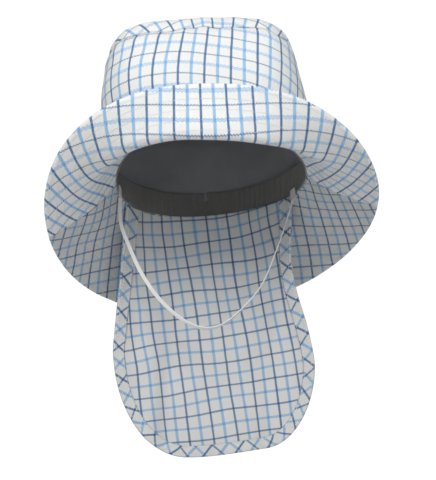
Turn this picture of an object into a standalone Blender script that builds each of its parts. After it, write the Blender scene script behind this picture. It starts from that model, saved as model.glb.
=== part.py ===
"""A wide-brimmed sun hat with a neck cape and a chin cord, as it sits on a head that leans back a little.

Units are metres, +Z is up and -Y is the front. The origin is the centre of the head opening.
The hat is modelled upright and an empty leans it; the cape and the chin cord hang straight down.
"""

import math

import bmesh
import bpy
import numpy as np
from mathutils import Euler, Matrix, Vector

# How the hat sits: leaned back, and cocked a little to its left.
LEAN_BACK = math.radians(15.0)
COCK_LEFT = math.radians(2.7)

# Head opening, an ellipse with a slightly wavy edge.
OPENING_HALF_WIDTH = 0.0895
OPENING_HALF_DEPTH = 0.0880
OPENING_WAVE = (0.0036, -0.0024)

# Crown: height of the top seam, how far the wall bulges, how square the top is on average and at the front.
SEAM_HEIGHT = 0.104
CROWN_SHIFT = -0.0046
WALL_HEIGHTS = (0.0, 0.14, 0.28, 0.46, 0.64, 0.82, 0.93, 1.0)
WALL_SCALES = (1.0, 1.035, 1.06, 1.07, 1.055, 1.02, 1.0, 0.97)
TOP_SQUARENESS = (3.4, 0.6)
TOP_RINGS = (1.0, 0.985, 0.95, 0.89, 0.80, 0.50, 0.15)
TOP_PUFF = 0.017
TOP_SHOULDER = 0.12

# Brim: each value is a wave round the hat, as mean, cos, cos 2, sin, sin 2, cos 3 and sin 3 parts.
# The angle runs from the front, through the wearer's left at +X, to the back.
BRIM_WIDTH = (0.0824, -0.0060, 0.0098, -0.0044, 0.0007)
SLOPE_AT_ROOT = (-46.7, -2.5, -1.0, 3.5, -1.0, -2.7, -3.0)
SLOPE_AT_EDGE = (-10.0, 45.8, 19.5, 3.6, -4.0, 8.0, -1.2)
BEND_LENGTH = (0.0332, -0.0167, -0.0011)
BEND_PLACE = (0.0287, 0.0107, 0.0026, -0.0025, -0.0014)
BRIM_START = 0.0008
BRIM_STATIONS = (0.0, 0.12, 0.23, 0.32, 0.39, 0.45, 0.51, 0.58, 0.68, 0.83, 1.0)

# Cloth: thickness of each ply in the solid model, and the gap that keeps neighbours apart.
PLY = 0.0008
GAP = 0.0003
ROUND_STEPS = 18

# Sweatband, inside the lining.
BAND_HEIGHT = 0.032
BAND_THICKNESS = 0.0012
BAND_INSET = 0.0030

# Cape: it hangs from the back of the opening. Sides and corners are given as places across and heights.
CAPE_INSET = 0.0028
CAPE_STRIP = 0.012
CAPE_GAP = (0.0050, 0.0040)
CAPE_SIDE_LEFT = (-0.0786, -0.0925)
CAPE_SIDE_RIGHT = (0.0755, 0.0970)
CAPE_LEFT_CORNER = (-0.147, 0.069)
CAPE_RIGHT_CORNER = (-0.165, 0.045)
CAPE_HEM = -0.249
CAPE_HEM_RISE = 0.012
CAPE_COLUMNS = 23
CAPE_ROWS = 9
CAPE_TOP_CURVE = (0.0858, 0.0806, 0.0806)
CAPE_CENTRE = 0.0010
CAPE_HEM_CURVE = (0.1200, 0.0400, 0.0830)
CAPE_FLAT_DEPTH = 0.20
FACING_WIDTH = 0.010
FACING_AWAY = 0.0019
CAPE_HINGE = Vector((0.0, 0.0736, -0.034))

# Chin cord: where it leaves the two tabs, and the hand-chosen route between them.
CORD_RADIUS = 0.00175
CORD_POINTS = 61
TAB_SIZE = (0.008, 0.0012, 0.009)
TAB_INSET = 0.0047
CORD_BELOW_TAB = 0.0018
TAB_LEFT_ANGLE = math.radians(-97.0)
TAB_RIGHT_ANGLE = math.radians(116.0)
CORD_ROUTE = (
    (0.000, 0.000), (0.008, -0.024), (0.058, -0.046), (0.130, -0.071), (0.235, -0.095), (0.370, -0.114),
    (0.500, -0.121), (0.630, -0.113), (0.800, -0.084), (0.900, -0.048), (0.965, -0.018), (1.000, 0.000),
)

COLOURS = {
    "checked": (0.86, 0.87, 0.88),
    "checked_wrong_side": (0.66, 0.68, 0.70),
    "lining": (0.045, 0.050, 0.056),
    "band": (0.050, 0.046, 0.044),
    "interlining": (0.80, 0.80, 0.78),
    "cord": (0.80, 0.79, 0.76),
}


def clear_scene():
    for obj in list(bpy.data.objects):
        bpy.data.objects.remove(obj, do_unlink=True)


def wave(parts, angle):
    """The value of a wave round the hat at an angle, or at an array of them."""
    terms = (
        np.ones_like(angle), np.cos(angle), np.cos(2 * angle), np.sin(angle),
        np.sin(2 * angle), np.cos(3 * angle), np.sin(3 * angle),
    )
    return sum(part * term for part, term in zip(parts, terms))


def smooth(t):
    t = np.clip(t, 0.0, 1.0)
    return t * t * (3.0 - 2.0 * t)


def opening_height(angle):
    return OPENING_WAVE[0] * np.cos(2 * angle) + OPENING_WAVE[1] * np.sin(2 * angle)


def opening_point(angle, inset=0.0, height=0.0):
    """A point on the edge of the head opening, in the upright hat."""
    return np.stack([
        (OPENING_HALF_WIDTH - inset) * np.sin(angle),
        -(OPENING_HALF_DEPTH - inset) * np.cos(angle),
        opening_height(angle) + height,
    ], axis=-1)


def brim_profile(angle):
    """How far out and how far up the brim's middle surface has gone at each station across it."""
    stations = np.linspace(0.0, 1.0, 121)
    width = wave(BRIM_WIDTH, angle)
    along = BRIM_START + stations * (width - BRIM_START)
    middle = (along[1:] + along[:-1]) / 2
    bend = smooth((middle - wave(BEND_PLACE, angle)) / wave(BEND_LENGTH, angle) + 0.5)
    root, edge = wave(SLOPE_AT_ROOT, angle), wave(SLOPE_AT_EDGE, angle)
    slope = np.radians(root + (edge - root) * bend)
    start = np.array([BRIM_START * math.cos(math.radians(root)), BRIM_START * math.sin(math.radians(root))])
    steps = np.stack([np.cos(slope), np.sin(slope)], axis=-1) * np.diff(along)[:, None]
    line = np.vstack([start, start + np.cumsum(steps, axis=0)])
    at = np.interp(BRIM_STATIONS, stations, np.arange(len(stations)))
    index = np.arange(len(stations))
    return np.stack([np.interp(at, index, line[:, 0]), np.interp(at, index, line[:, 1])], axis=-1)


def brim_surface(angles):
    """Rows of points, one row for each angle, from the opening to the brim's edge."""
    rows = []
    for angle in angles:
        out = np.array([OPENING_HALF_DEPTH * math.sin(angle), -OPENING_HALF_WIDTH * math.cos(angle), 0.0])
        out /= np.linalg.norm(out)
        profile = brim_profile(np.float64(angle))
        root = opening_point(np.float64(angle))
        rows.append(root + out * profile[:, :1] + np.array([0.0, 0.0, 1.0]) * profile[:, 1:])
    return np.array(rows)


def wall_surface(angles, low, high, inset, levels=WALL_HEIGHTS):
    """Rows of points up the crown's wall between two heights, one row for each angle."""
    rows = []
    for angle in angles:
        height = opening_height(np.float64(angle))
        row = []
        for level in levels:
            z = low + level * (high - low)
            share = z / SEAM_HEIGHT
            row.append(wall_point(angle, share, inset, z + height * (1.0 - share)))
        rows.append(row)
    return np.array(rows)


def wall_point(angle, share, inset, z, shrink=1.0):
    scale = np.interp(share, WALL_HEIGHTS, WALL_SCALES)
    sine, cosine = math.sin(angle), math.cos(angle)
    power = 2.0 + (TOP_SQUARENESS[0] + TOP_SQUARENESS[1] * cosine - 2.0) * share
    radius = (abs(sine) ** power + abs(cosine) ** power) ** (-1.0 / power)
    shift = CROWN_SHIFT * min(1.0, 2.2 * share)
    return [
        shift + (OPENING_HALF_WIDTH * scale * radius - inset) * shrink * sine,
        -(OPENING_HALF_DEPTH * scale * radius - inset) * shrink * cosine,
        z,
    ]


def top_surface(angles, inset, height, puff):
    """Rings of points from the top seam to the middle, one row for each angle."""
    rows = []
    for angle in angles:
        row = []
        for ring in TOP_RINGS:
            across = min(1.0, (1.0 - ring) / TOP_SHOULDER)
            rise = puff * math.sqrt(1.0 - (1.0 - across) ** 2)
            row.append(wall_point(angle, 1.0, inset, SEAM_HEIGHT + height + rise, ring))
        rows.append(row)
    return np.array(rows)


def offset(rows, distance):
    """The same grid moved along its own normals, towards the ground if the distance is positive."""
    normal = np.cross(np.gradient(rows, axis=0), np.gradient(rows, axis=1))
    normal /= np.linalg.norm(normal, axis=-1, keepdims=True)
    return rows + normal * distance


def material(name, colour):
    made = bpy.data.materials.new(name)
    made.use_nodes = True
    shader = made.node_tree.nodes["Principled BSDF"]
    shader.inputs["Base Color"].default_value = (*COLOURS[colour], 1.0)
    shader.inputs["Roughness"].default_value = 0.9
    shader.inputs["Metallic"].default_value = 0.0
    return made


def sheet(name, rows, thickness, colour, parent, closed=False, capped=False):
    """A sheet of cloth: a grid of faces through the rows, made solid by a Solidify modifier."""
    count, depth = rows.shape[:2]
    points = [tuple(point) for point in rows.reshape(-1, 3)]
    faces = []
    for i in range(count if closed else count - 1):
        for j in range(depth - 1):
            a, b = i * depth + j, ((i + 1) % count) * depth + j
            faces.append((a, b, b + 1, a + 1))
    if capped:
        faces.append(tuple(i * depth + depth - 1 for i in range(count)))
    mesh = bpy.data.meshes.new(name)
    mesh.from_pydata(points, [], faces)
    obj = bpy.data.objects.new(name, mesh)
    bpy.context.collection.objects.link(obj)
    obj.parent = parent
    obj.data.materials.append(material(name, colour))
    solid = obj.modifiers.new("Thickness", "SOLIDIFY")
    solid.thickness = thickness
    solid.offset = 0.0
    solid.use_rim = True
    return obj


def empty(name, location, rotation=(0.0, 0.0, 0.0)):
    made = bpy.data.objects.new(name, None)
    made.location = location
    made.rotation_euler = rotation
    bpy.context.collection.objects.link(made)
    return made


def half_angles(front, gap):
    """Angles across the front half or the back half, stopping short of the side seams by a gap."""
    short = gap / OPENING_HALF_WIDTH
    angles = np.linspace(-math.pi / 2 + short, math.pi / 2 - short, ROUND_STEPS + 1)
    return angles if front else angles + math.pi


def build_crown(hat):
    ring = np.linspace(0.0, 2 * math.pi, 2 * ROUND_STEPS, endpoint=False)
    lining_inset = PLY + GAP
    for side, front in (("front", True), ("back", False)):
        angles = half_angles(front, GAP)
        wall = wall_surface(angles, GAP, SEAM_HEIGHT, PLY / 2)
        sheet(f"crown_{side}_panel", wall, PLY, "checked", hat)
        lining = wall_surface(angles, GAP, SEAM_HEIGHT - GAP, PLY / 2 + lining_inset)
        sheet(f"lining_{side}_panel", lining, PLY, "lining", hat)
    top = top_surface(ring, PLY / 2, PLY / 2 + GAP, TOP_PUFF)
    sheet("crown_top", top, PLY, "checked", hat, closed=True, capped=True)
    under = top_surface(ring, 2 * PLY + 2 * GAP + PLY, -PLY, TOP_PUFF * 0.8)
    sheet("lining_top", under, PLY, "lining", hat, closed=True, capped=True)
    band = wall_surface(ring, 2 * GAP, BAND_HEIGHT, BAND_INSET, levels=(0.0, 0.33, 0.67, 1.0))
    sheet("sweatband", band, BAND_THICKNESS, "band", hat, closed=True)


def build_brim(hat):
    for side, front in (("front", True), ("back", False)):
        rows = brim_surface(half_angles(front, GAP / 2))
        upper = offset(rows, -PLY - GAP)
        under = offset(rows, PLY + GAP)
        sheet(f"brim_upper_{side}", upper, PLY, "checked", hat)
        sheet(f"brim_interlining_{side}", rows, PLY, "interlining", hat)
        sheet(f"brim_under_{side}", under, PLY, "checked_wrong_side", hat)


def cape_flattening(z):
    return smooth(-z / CAPE_FLAT_DEPTH)


def cape_y(x, z):
    """The cape's surface: curved round the neck at the top, flatter towards the hem."""
    blend = cape_flattening(z)
    half, depth, back = (
        top + (hem - top) * blend for top, hem in zip(CAPE_TOP_CURVE, CAPE_HEM_CURVE)
    )
    return back - depth * (1.0 - np.sqrt(np.clip(1.0 - ((x - CAPE_CENTRE) / half) ** 2, 0.0, 1.0)))


def cape_points(x, z, away=0.0):
    """Points on the cape's surface, or at a distance from it towards the neck."""
    step = 1e-4
    slope_x = (cape_y(x + step, z) - cape_y(x - step, z)) / (2 * step)
    slope_z = (cape_y(x, z + step) - cape_y(x, z - step)) / (2 * step)
    normal = np.stack([slope_x, -np.ones_like(slope_x), slope_z], axis=-1)
    normal /= np.linalg.norm(normal, axis=-1, keepdims=True)
    return np.stack([x, cape_y(x, z), z], axis=-1) + normal * away


def cape_side(z, side):
    """How far to the side the cape reaches at a height."""
    if side == "left":
        return np.interp(z, (CAPE_LEFT_CORNER[0], -0.012), (CAPE_SIDE_LEFT[1], CAPE_SIDE_LEFT[0]))
    return CAPE_SIDE_RIGHT[0] + (CAPE_SIDE_RIGHT[1] - CAPE_SIDE_RIGHT[0]) * smooth((-0.06 - z) / 0.11)


def cape_hem(x):
    """The height of the hem: a straight run that rises a little to the right, with a round corner at each end."""
    height, reach = CAPE_LEFT_CORNER
    left = CAPE_SIDE_LEFT[1] + reach
    if x < left:
        return height - (height - CAPE_HEM) * math.sqrt(max(0.0, 1.0 - ((left - x) / reach) ** 2))
    height, reach = CAPE_RIGHT_CORNER
    right = CAPE_SIDE_RIGHT[1] - reach
    low = CAPE_HEM + CAPE_HEM_RISE * smooth((x - left) / (right - left + reach))
    if x > right:
        return height - (height - low) * math.sqrt(max(0.0, 1.0 - ((x - right) / reach) ** 2))
    return low


def cape_top(x):
    """The height at which the cape is sewn on, on the leaned edge of the opening."""
    half = OPENING_HALF_WIDTH - CAPE_INSET
    angle = math.pi - math.asin(max(-1.0, min(1.0, (x - CAPE_CENTRE) / half)))
    point = lean_matrix() @ Vector(opening_point(np.float64(angle), CAPE_INSET, -GAP))
    return point.z


def cape_rows(xs, tops, bottoms, levels=(0.0, 1.0)):
    """Columns of points down the cape's surface."""
    rows = []
    for x, top, bottom in zip(xs, tops, bottoms):
        z = top + np.asarray(levels) * (bottom - top)
        side = np.where(x < 0, cape_side(z, "left") / CAPE_SIDE_LEFT[1], cape_side(z, "right") / CAPE_SIDE_RIGHT[1])
        rows.append(cape_points(x * side, z))
    return np.array(rows)


def cape_columns(count=CAPE_COLUMNS):
    """Places across the cape at its widest, closer together near its two sides, where the corners are."""
    share = (1.0 - np.cos(np.linspace(0.0, math.pi, count))) / 2.0
    share = 0.65 * share + 0.35 * np.linspace(0.0, 1.0, count)
    return CAPE_SIDE_LEFT[1] + share * (CAPE_SIDE_RIGHT[1] - CAPE_SIDE_LEFT[1])


def narrowed(x):
    """Where a column that starts at x at its widest meets the top of the cape."""
    return x * (CAPE_SIDE_LEFT[0] / CAPE_SIDE_LEFT[1] if x < 0 else CAPE_SIDE_RIGHT[0] / CAPE_SIDE_RIGHT[1])


def lean_matrix():
    return Euler((-LEAN_BACK, -COCK_LEFT, 0.0), "XYZ").to_matrix()


def build_cape(hinge):
    xs = cape_columns()
    sewn = np.array([cape_top(narrowed(x)) for x in xs])
    strip_end = sewn - CAPE_STRIP
    gap = CAPE_GAP[0] + CAPE_GAP[1] * (xs / CAPE_SIDE_RIGHT[1]) ** 2
    free = strip_end - gap
    strip = cape_rows(xs, sewn, strip_end)
    sheet("cape_sewn_edge", strip, PLY, "checked_wrong_side", None)
    hem = np.array([min(cape_hem(x), top - 0.01) for x, top in zip(xs, free)])
    panel = cape_rows(xs, free, hem, levels=np.linspace(0.0, 1.0, CAPE_ROWS))
    panel_obj = sheet("cape_panel", panel, PLY, "checked_wrong_side", None)
    place_on(panel_obj, hinge)
    facing = sheet("cape_bias_facing", facing_rows(xs, free, hem), PLY, "checked_wrong_side", None)
    place_on(facing, hinge)


def facing_rows(xs, free, hem):
    """A strip along the cape's two sides and its hem, on the face towards the neck."""
    outline = [(cape_side(z, "left"), z) for z in np.linspace(free[0], hem[0], 7)[:-1]]
    outline += list(zip(xs, hem))
    outline += [(cape_side(z, "right"), z) for z in np.linspace(hem[-1], free[-1], 8)[1:]]
    outline = np.array(outline)
    along = np.gradient(outline, axis=0)
    along /= np.linalg.norm(along, axis=1, keepdims=True)
    inward = np.stack([-along[:, 1], along[:, 0]], axis=-1)
    rows = [outline + inward * across for across in (GAP, FACING_WIDTH / 2, FACING_WIDTH)]
    strip = np.stack(rows, axis=1)
    return cape_points(strip[..., 0], strip[..., 1], FACING_AWAY)


def place_on(obj, hinge):
    """Gives a piece its hinge as parent and keeps it where it is."""
    obj.parent = hinge
    obj.data.transform(Matrix.Translation(-hinge.location))


def tab_place(angle):
    """The middle of a tab, on the leaned edge of the opening."""
    return lean_matrix() @ Vector(opening_point(np.float64(angle), TAB_INSET))


def build_tab(name, angle, parent):
    """A small upright loop of tape, sewn flat against the inside of the opening."""
    mesh = bpy.data.meshes.new(name)
    shape = bmesh.new()
    bmesh.ops.create_cube(shape, size=1.0)
    bmesh.ops.scale(shape, vec=TAB_SIZE, verts=shape.verts)
    shape.to_mesh(mesh)
    shape.free()
    obj = bpy.data.objects.new(name, mesh)
    bpy.context.collection.objects.link(obj)
    obj.parent = parent
    obj.location = opening_point(np.float64(angle), TAB_INSET)
    obj.rotation_euler = (0.0, 0.0, angle)
    obj.data.materials.append(material(name, "cord"))


def cord_line(start, end):
    """The cord's centreline: a smooth curve through its route, in the upright plane of its two ends."""
    route = np.array([
        [*(start + (end - start) * share)[:2], start.z + (end.z - start.z) * share + drop]
        for share, drop in CORD_ROUTE
    ])
    before = 2 * route[0] - route[1]
    after = 2 * route[-1] - route[-2]
    knots = np.vstack([before, route, after])
    fine = []
    for a, b, c, d in zip(knots, knots[1:], knots[2:], knots[3:]):
        for t in np.linspace(0.0, 1.0, 24, endpoint=False):
            fine.append(0.5 * (
                2 * b + (c - a) * t + (2 * a - 5 * b + 4 * c - d) * t ** 2
                + (3 * b - a - 3 * c + d) * t ** 3
            ))
    fine = np.array(fine + [route[-1]])
    along = np.concatenate([[0.0], np.cumsum(np.linalg.norm(np.diff(fine, axis=0), axis=1))])
    even = np.linspace(0.0, along[-1], CORD_POINTS)
    return np.stack([np.interp(even, along, fine[:, i]) for i in range(3)], axis=-1)


def build_cord(hinge):
    down = Vector((0.0, 0.0, -TAB_SIZE[2] / 2 - CORD_BELOW_TAB))
    start = tab_place(TAB_LEFT_ANGLE) + down
    end = tab_place(TAB_RIGHT_ANGLE) + down
    hinge.location = (start + end) / 2
    curve = bpy.data.curves.new("chin_cord", "CURVE")
    curve.dimensions = "3D"
    curve.bevel_depth = CORD_RADIUS
    curve.bevel_resolution = 2
    curve.use_fill_caps = True
    line = cord_line(start, end)
    spline = curve.splines.new("POLY")
    spline.points.add(len(line) - 1)
    for point, place in zip(spline.points, line):
        point.co = (*(place - np.array(hinge.location)), 1.0)
    obj = bpy.data.objects.new("chin_cord", curve)
    bpy.context.collection.objects.link(obj)
    obj.parent = hinge
    obj.data.materials.append(material("chin_cord", "cord"))


clear_scene()
hat_frame = empty("hat_frame", (0.0, 0.0, 0.0), (-LEAN_BACK, -COCK_LEFT, 0.0))
cape_hinge = empty("cape_hinge", CAPE_HINGE)
cord_hinge = empty("cord_hinge", (0.0, 0.0, 0.0))
build_crown(hat_frame)
build_brim(hat_frame)
build_cape(cape_hinge)
build_tab("cord_tab_left", TAB_LEFT_ANGLE, hat_frame)
build_tab("cord_tab_right", TAB_RIGHT_ANGLE, hat_frame)
build_cord(cord_hinge)
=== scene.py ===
"""The looks of a checked sun hat with a neck cape and a chin cord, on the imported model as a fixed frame.

Units are metres, +Z is up and -Y is the front of the hat. The hat's own pieces are shaped upright and
leaned by one matrix. The cape and the chin cord hang straight down. Every cloth mesh carries one UV
map in metres, "Cloth": the place on the cut piece, which the check and the weave follow.
"""

import math

import bpy
import numpy as np
from mathutils import Euler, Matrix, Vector


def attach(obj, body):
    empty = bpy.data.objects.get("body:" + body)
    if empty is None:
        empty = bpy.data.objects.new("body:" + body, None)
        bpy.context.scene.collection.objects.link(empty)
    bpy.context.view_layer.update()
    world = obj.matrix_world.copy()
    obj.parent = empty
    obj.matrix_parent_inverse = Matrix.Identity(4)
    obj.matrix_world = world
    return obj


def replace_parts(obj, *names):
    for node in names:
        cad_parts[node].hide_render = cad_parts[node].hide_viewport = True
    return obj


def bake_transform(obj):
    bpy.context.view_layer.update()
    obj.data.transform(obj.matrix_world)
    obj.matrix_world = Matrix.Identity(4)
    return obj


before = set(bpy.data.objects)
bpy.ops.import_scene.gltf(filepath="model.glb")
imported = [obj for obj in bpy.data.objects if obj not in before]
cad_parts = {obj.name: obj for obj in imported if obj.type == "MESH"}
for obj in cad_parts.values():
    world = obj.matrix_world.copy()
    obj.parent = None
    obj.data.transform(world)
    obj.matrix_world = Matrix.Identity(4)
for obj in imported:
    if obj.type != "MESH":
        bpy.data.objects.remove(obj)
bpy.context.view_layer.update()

# The shape, as in the CAD part: the lean, the opening, the crown, the brim, the cape and the cord.
LEAN_BACK = math.radians(15.0)
COCK_LEFT = math.radians(2.7)
OPENING_HALF_WIDTH = 0.0895
OPENING_HALF_DEPTH = 0.0880
OPENING_WAVE = (0.0036, -0.0024)
SEAM_HEIGHT = 0.104
CROWN_SHIFT = -0.0046
WALL_HEIGHTS = (0.0, 0.14, 0.28, 0.46, 0.64, 0.82, 0.93, 1.0)
WALL_SCALES = (1.0, 1.035, 1.06, 1.07, 1.055, 1.02, 1.0, 0.97)
TOP_SQUARENESS = (3.4, 0.6)
TOP_PUFF = 0.017
TOP_SHOULDER = 0.12
BRIM_WIDTH = (0.0824, -0.0060, 0.0098, -0.0044, 0.0007)
SLOPE_AT_ROOT = (-46.7, -2.5, -1.0, 3.5, -1.0, -2.7, -3.0)
SLOPE_AT_EDGE = (-10.0, 45.8, 19.5, 3.6, -4.0, 8.0, -1.2)
BEND_LENGTH = (0.0332, -0.0167, -0.0011)
BEND_PLACE = (0.0287, 0.0107, 0.0026, -0.0025, -0.0014)
BRIM_START = 0.0008
BAND_HEIGHT = 0.032
BAND_INSET = 0.0030
CAPE_INSET = 0.0028
CAPE_SIDE_LEFT = (-0.0786, -0.0925)
CAPE_SIDE_RIGHT = (0.0755, 0.0970)
CAPE_LEFT_CORNER = (-0.147, 0.069)
CAPE_RIGHT_CORNER = (-0.165, 0.045)
CAPE_HEM = -0.249
CAPE_HEM_RISE = 0.012
CAPE_TOP_CURVE = (0.0858, 0.0806, 0.0806)
CAPE_HEM_CURVE = (0.1200, 0.0400, 0.0830)
CAPE_CENTRE = 0.0010
CAPE_FLAT_DEPTH = 0.20
FACING_WIDTH = 0.010
FACING_AWAY = 0.0014
TAB_INSET = 0.0047
TAB_HEIGHT = 0.009
TAB_HALF_WIDTH = 0.004
CORD_BELOW_TAB = 0.0018
TAB_LEFT_ANGLE = math.radians(-97.0)
TAB_RIGHT_ANGLE = math.radians(116.0)
CORD_ROUTE = (
    (0.000, 0.000), (0.008, -0.024), (0.058, -0.046), (0.130, -0.071), (0.235, -0.095), (0.370, -0.114),
    (0.500, -0.121), (0.630, -0.113), (0.800, -0.084), (0.900, -0.048), (0.965, -0.018), (1.000, 0.000),
)

# The cloth: how far apart its dark lines are across and along the cut, how it is sewn, how thick it is.
CHECK_ACROSS = 0.0220
CHECK_ALONG = 0.0236
BRIM_ROWS = 10
STITCH_LENGTH = 0.0030
CLOTH = 0.0007
LINING_CLOTH = 0.0005
BAND_CLOTH = 0.0010
STIFFENER_CLOTH = 0.0004

# How each cut piece sits on the check: its shift in metres and its turn in degrees.
CROWN_TURN, CROWN_FRONT_SHIFT, CROWN_BACK_SHIFT = 7.5, (0.0053, 0.0002), (0.006, 0.004)
TOP_TURN = -8.0
BRIM_FRONT_SHIFT, BRIM_BACK_SHIFT = (0.0068, -0.0106), (0.0045, 0.006)
CAPE_TURN, CAPE_SHIFT = -8.5, (-0.0121, -0.0046)
BIAS_TURN = 45.0

# The elastic's own section, and where along the cord it turns over and how far.
CORD_HALF_WIDTH = 0.00178
CORD_HALF_THICKNESS = 0.00054
CORD_GROOVE = (0.00026, 0.00032)
CORD_TURN_PLACES = (0.0, 0.12, 0.35, 0.55, 0.75, 0.92, 1.0)
CORD_TURN_DEGREES = (20, 8, 30, 62, 75, 80, 60)

FLOOR_HEIGHT = -0.30
FLOOR_REACH = 9.0

# Camera: the photograph's frame is 436 wide and 480 high.
CAMERA_PLACE = (0.0062, -1.0641, -0.2844)
CAMERA_RISE = math.radians(12.0)
CAMERA_LENS = 60.15
CAMERA_SENSOR = 24.0


# ---- shape functions

def wave(parts, angle):
    """The value of a wave round the hat, from its mean, cos, cos 2, sin, sin 2, cos 3 and sin 3 parts."""
    terms = (
        np.ones_like(angle), np.cos(angle), np.cos(2 * angle), np.sin(angle),
        np.sin(2 * angle), np.cos(3 * angle), np.sin(3 * angle),
    )
    return sum(part * term for part, term in zip(parts, terms))


UP = np.array([0.0, 0.0, 1.0])


def unit(vectors):
    return vectors / np.linalg.norm(vectors, axis=-1, keepdims=True)


def run_of(line):
    """How far each point of a line lies along it."""
    return np.concatenate([[0.0], np.cumsum(np.linalg.norm(np.diff(line, axis=0), axis=1))])


def smooth(t):
    t = np.clip(t, 0.0, 1.0)
    return t * t * (3.0 - 2.0 * t)


def ripples(a, b, seed, count=9, low=1.0, high=3.0):
    """Soft irregular ripples over two coordinates, about one unit high."""
    chance = np.random.default_rng(seed)
    total = np.zeros(np.broadcast(a, b).shape)
    for _ in range(count):
        size = chance.uniform(low, high)
        turn = chance.uniform(0.0, 2 * math.pi)
        phase = chance.uniform(0.0, 2 * math.pi)
        total += np.sin(size * (a * math.cos(turn) + b * math.sin(turn)) + phase)
    return total / math.sqrt(count)


LEAN = np.array(Euler((-LEAN_BACK, -COCK_LEFT, 0.0), "XYZ").to_matrix())


def leaned(points):
    return points @ LEAN.T


def opening_height(angle):
    return OPENING_WAVE[0] * np.cos(2 * angle) + OPENING_WAVE[1] * np.sin(2 * angle)


def opening_point(angle, inset=0.0, height=0.0):
    return np.stack([
        (OPENING_HALF_WIDTH - inset) * np.sin(angle),
        -(OPENING_HALF_DEPTH - inset) * np.cos(angle),
        opening_height(angle) + height,
    ], axis=-1)


def grid_normals(rows, closed=False):
    """Unit normals of a grid of points."""
    if closed:
        around = np.roll(rows, -1, axis=0) - np.roll(rows, 1, axis=0)
    else:
        around = np.gradient(rows, axis=0)
    normal = np.cross(around, np.gradient(rows, axis=1))
    return normal / np.maximum(np.linalg.norm(normal, axis=-1, keepdims=True), 1e-12)


def distances(rows, axis):
    """How far each point of a grid lies along its row or column, measured on the surface."""
    steps = np.linalg.norm(np.diff(rows, axis=axis), axis=-1)
    total = np.cumsum(steps, axis=axis)
    start = np.zeros_like(np.take(total, [0], axis=axis))
    return np.concatenate([start, total], axis=axis)


# ---- mesh building

def cloth_piece(name, rows, uv, thickness=CLOTH, closed=False, middle=None):
    """A closed shell of cloth: both faces of a grid of points, and its raw edges.

    middle is the UV of a last point that a closed grid runs in to, for a round top."""
    normal = grid_normals(rows, closed)
    count, depth = rows.shape[:2]
    size = count * depth
    near, far = rows + normal * thickness / 2, rows - normal * thickness / 2
    points = [near.reshape(-1, 3), far.reshape(-1, 3)]
    uvs = [uv.reshape(-1, 2), uv.reshape(-1, 2)]
    index = np.arange(size).reshape(count, depth)
    turn = np.vstack([index, index[:1]]) if closed else index
    a, b = turn[:-1, :-1], turn[1:, :-1]
    c, d = turn[1:, 1:], turn[:-1, 1:]
    quads = np.stack([a, b, c, d], axis=-1).reshape(-1, 4)
    faces = [*quads.tolist(), *(quads[:, ::-1] + size).tolist()]
    rims = [turn[:, 0][::-1]]
    if middle is None:
        rims.append(turn[:, -1])
    if not closed:
        rims += [turn[0], turn[-1][::-1]]
    for rim in rims:
        for p, q in zip(rim[:-1], rim[1:]):
            faces.append((p, q, q + size, p + size))
    if middle is not None:
        centre = rows[:, -1].mean(axis=0)
        up = unit(normal[:, -1].mean(axis=0))
        points.append(np.array([centre + up * thickness / 2, centre - up * thickness / 2]))
        uvs.append(np.array([middle, middle]))
        last = turn[:, -1]
        for p, q in zip(last[:-1], last[1:]):
            faces.append((p, q, 2 * size))
            faces.append((q + size, p + size, 2 * size + 1))
    return mesh_object(name, np.vstack(points), faces, np.vstack(uvs))


def mesh_object(name, points, faces, uv=None):
    """A smooth mesh object with its UV map, its faces turned outwards."""
    mesh = bpy.data.meshes.new(name)
    mesh.from_pydata(np.asarray(points).tolist(), [], [tuple(int(i) for i in f) for f in faces])
    if uv is not None:
        corner = np.empty(len(mesh.loops), dtype=np.int64)
        mesh.loops.foreach_get("vertex_index", corner)
        mesh.uv_layers.new(name="Cloth").data.foreach_set("uv", uv[corner].astype(np.float32).ravel())
    mesh.polygons.foreach_set("use_smooth", [True] * len(mesh.polygons))
    mesh.update()
    obj = bpy.data.objects.new(name, mesh)
    bpy.context.collection.objects.link(obj)
    if signed_volume(mesh) < 0:
        mesh.flip_normals()
    return obj


def signed_volume(mesh):
    mesh.calc_loop_triangles()
    points = np.array([v.co for v in mesh.vertices])
    tris = np.array([t.vertices for t in mesh.loop_triangles])
    return np.linalg.det(points[tris]).sum()


def turned(uv, degrees, centre=(0.0, 0.0)):
    """A UV grid turned about a point."""
    cosine, sine = math.cos(math.radians(degrees)), math.sin(math.radians(degrees))
    x, y = uv[..., 0] - centre[0], uv[..., 1] - centre[1]
    return np.stack([cosine * x - sine * y + centre[0], sine * x + cosine * y + centre[1]], axis=-1)


# ---- materials

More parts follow.
